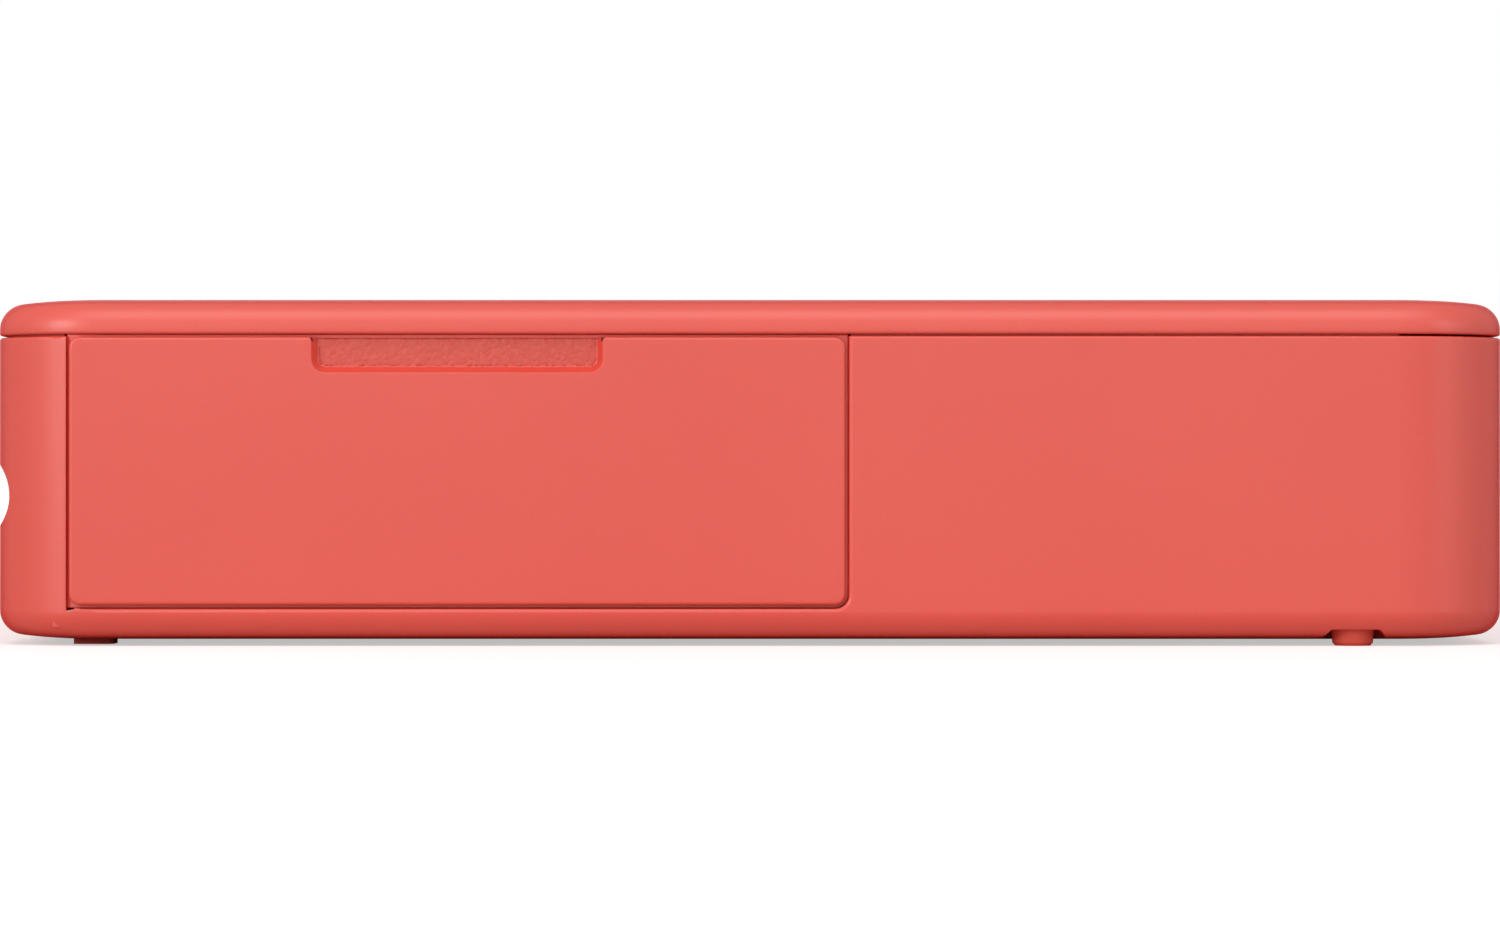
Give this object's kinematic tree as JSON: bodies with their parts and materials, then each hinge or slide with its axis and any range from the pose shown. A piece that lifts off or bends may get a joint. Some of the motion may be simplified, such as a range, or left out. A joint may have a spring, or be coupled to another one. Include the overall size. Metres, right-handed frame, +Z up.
{
  "type": "compact photo printer",
  "caption": "Compact photo printer: rounded flat case with a lid over a paper well, a drop-down side door for the ribbon cassette and a slot for the print at one end.",
  "frame": {"origin": "on the desk, under the middle of the case: the feet stand at Z=0", "axes": "X runs from the print slot end to the hinged end of the cover, Y from the cassette door side to the control side, Z up"},
  "size_m": [0.1458, 0.1022, 0.0333],
  "materials": {
    "case_plastic": "fine satin moulding",
    "cover_plastic": "fine satin moulding",
    "grip_plastic": "raised grain",
    "door_plastic": "fine satin moulding",
    "feet_rubber": "matt",
    "screw_steel": "zinc plated",
    "pin_steel": "ground",
    "plate_plastic": "matt",
    "deck_plastic": "fine matt moulding",
    "frame_plastic": "matt",
    "ramp_plastic": "smooth",
    "guide_plastic": "smooth",
    "capstan_steel": "gritted bands",
    "gear_acetal": "satin",
    "pinch_rubber": "matt",
    "platen_rubber": "ground matt",
    "shaft_steel": "ground",
    "bush_bronze": "sintered",
    "pick_rubber": "ribbed",
    "motor_steel": "nickel plated",
    "pinion_brass": "machined",
    "cassette_plastic": "matt",
    "spool_plastic": "matt",
    "wound_film": "glossy film",
    "ribbon_film": "glossy film",
    "arm_steel": "pressed",
    "sink_aluminium": "extruded",
    "head_ceramic": "glazed",
    "spring_steel": "drawn",
    "lever_plastic": "matt",
    "slider_plastic": "matt",
    "button_plastic": "satin",
    "switch_plastic": "matt",
    "light_guide": "frosted",
    "socket_steel": "drawn shell",
    "board_laminate": "solder mask",
    "chip_epoxy": "moulded",
    "battery_foil": "wrapped pouch"
  },
  "bodies": {
    "case": {"inner_deck": "deck_plastic", "lower_case": "case_plastic", "rubber_feet": "feet_rubber", "case_screws": "screw_steel", "paper_tray": "deck_plastic", "deck_screws": "screw_steel", "frame_base": "frame_plastic", "drive_side_wall": "frame_plastic", "door_side_wall": "frame_plastic", "paper_ramp": "ramp_plastic", "return_guide_upper": "guide_plastic", "return_guide_lower": "guide_plastic", "roller_bushes": "bush_bronze", "feed_motor": "motor_steel", "idler_stud": "pin_steel", "pick_motor": "motor_steel", "head_pivot_pins": "pin_steel", "head_springs": "spring_steel", "lever_pin": "pin_steel", "slider_spring": "spring_steel", "power_switch": "switch_plastic", "light_guides": "light_guide", "charging_socket": "socket_steel", "circuit_board": "board_laminate", "board_chips": "chip_epoxy", "board_screws": "screw_steel", "battery_pack": "battery_foil", "cassette_frame": "cassette_plastic", "ribbon_film": "ribbon_film"},
    "cover": {"top_cover": "cover_plastic", "grip_panel": "grip_plastic", "cover_hinge_pins": "pin_steel"},
    "sheet_presser": {"pressure_plate": "plate_plastic"},
    "door": {"cassette_door": "door_plastic", "door_hinge_pins": "pin_steel"},
    "release": {"release_slider": "slider_plastic"},
    "button": {"power_button": "button_plastic"},
    "lever": {"cassette_lever": "lever_plastic"},
    "head": {"head_arms": "arm_steel", "head_heat_sink": "sink_aluminium", "print_head": "head_ceramic"},
    "capstan": {"capstan_roller": "capstan_steel", "capstan_gear": "gear_acetal"},
    "pinch": {"pinch_roller": "pinch_rubber"},
    "platen": {"platen_roller": "platen_rubber", "platen_shaft": "shaft_steel"},
    "pick": {"pick_roller": "pick_rubber", "pick_shaft": "shaft_steel", "pick_gear": "gear_acetal"},
    "feed_pinion": {"motor_pinion": "pinion_brass"},
    "idler": {"idler_gear": "gear_acetal"},
    "pick_pinion": {"pick_motor_pinion": "pinion_brass"},
    "take_up": {"take_up_hub": "gear_acetal", "take_up_spool": "spool_plastic", "take_up_roll": "wound_film"},
    "supply": {"supply_hub": "gear_acetal", "supply_spool": "spool_plastic", "supply_roll": "wound_film"}
  },
  "joints": [
    {"name": "cover_hinge", "type": "hinge", "parent": "case", "child": "cover", "pos_m": [0.0716, 0, 0.0311], "axis": [0, 1, 0], "range_deg": [0, 95]},
    {"name": "sheet_presser_hinge", "type": "hinge", "parent": "cover", "child": "sheet_presser", "pos_m": [0.0419, 0, 0.03035], "axis": [0, -1, 0], "range_deg": [0, 4.5]},
    {"name": "door_hinge", "type": "hinge", "parent": "case", "child": "door", "pos_m": [-0.0279, -0.0491, 0.00595], "axis": [1, 0, 0], "range_deg": [0, 90]},
    {"name": "release_slide", "type": "slide", "parent": "case", "child": "release", "axis": [1, 0, 0], "range_m": [0, 0.0024], "deforming": ["slider_spring"]},
    {"name": "button_press", "type": "slide", "parent": "case", "child": "button", "axis": [0, -1, 0], "range_m": [0, 0.0006]},
    {"name": "lever_swing", "type": "hinge", "parent": "case", "child": "lever", "pos_m": [-0.0059, 0, 0.0198], "axis": [0, -1, 0], "range_deg": [0, 90]},
    {"name": "head_lift", "type": "hinge", "parent": "case", "child": "head", "pos_m": [-0.0129, 0, 0.0057], "axis": [0, 1, 0], "range_deg": [0, 6.5]},
    {"name": "capstan_spin", "type": "hinge", "parent": "case", "child": "capstan", "pos_m": [-0.062, 0, 0.01125], "axis": [0, 1, 0], "continuous": true},
    {"name": "pinch_spin", "type": "hinge", "parent": "case", "child": "pinch", "pos_m": [-0.062, 0, 0.01755], "axis": [0, 1, 0], "continuous": true},
    {"name": "platen_spin", "type": "hinge", "parent": "case", "child": "platen", "pos_m": [-0.0279, 0, 0.01905], "axis": [0, 1, 0], "continuous": true},
    {"name": "feed_pinion_spin", "type": "hinge", "parent": "case", "child": "feed_pinion", "pos_m": [-0.058, 0, 0.02375], "axis": [0, 1, 0], "continuous": true},
    {"name": "idler_spin", "type": "hinge", "parent": "case", "child": "idler", "pos_m": [-0.05559, 0, 0.01826], "axis": [0, 1, 0], "continuous": true},
    {"name": "take_up_spin", "type": "hinge", "parent": "case", "child": "take_up", "pos_m": [-0.05078, 0, 0.00875], "axis": [0, 1, 0], "continuous": true},
    {"name": "supply_spin", "type": "hinge", "parent": "case", "child": "supply", "pos_m": [-0.0049, 0, 0.00875], "axis": [0, 1, 0], "continuous": true},
    {"name": "pick_spin", "type": "hinge", "parent": "case", "child": "pick", "pos_m": [-0.0081, 0, 0.0212], "axis": [0, 1, 0], "continuous": true},
    {"name": "pick_pinion_spin", "type": "hinge", "parent": "case", "child": "pick_pinion", "pos_m": [-0.00022, 0, 0.01981], "axis": [0, 1, 0], "continuous": true}
  ],
  "couplings": [
    {"joint": "pinch_spin", "follows": "capstan_spin", "ratio": -1},
    {"joint": "feed_pinion_spin", "follows": "capstan_spin", "ratio": 2.4},
    {"joint": "idler_spin", "follows": "capstan_spin", "ratio": -1.7143},
    {"joint": "take_up_spin", "follows": "capstan_spin", "ratio": -1.0909},
    {"joint": "pick_pinion_spin", "follows": "pick_spin", "ratio": -2.2}
  ]
}
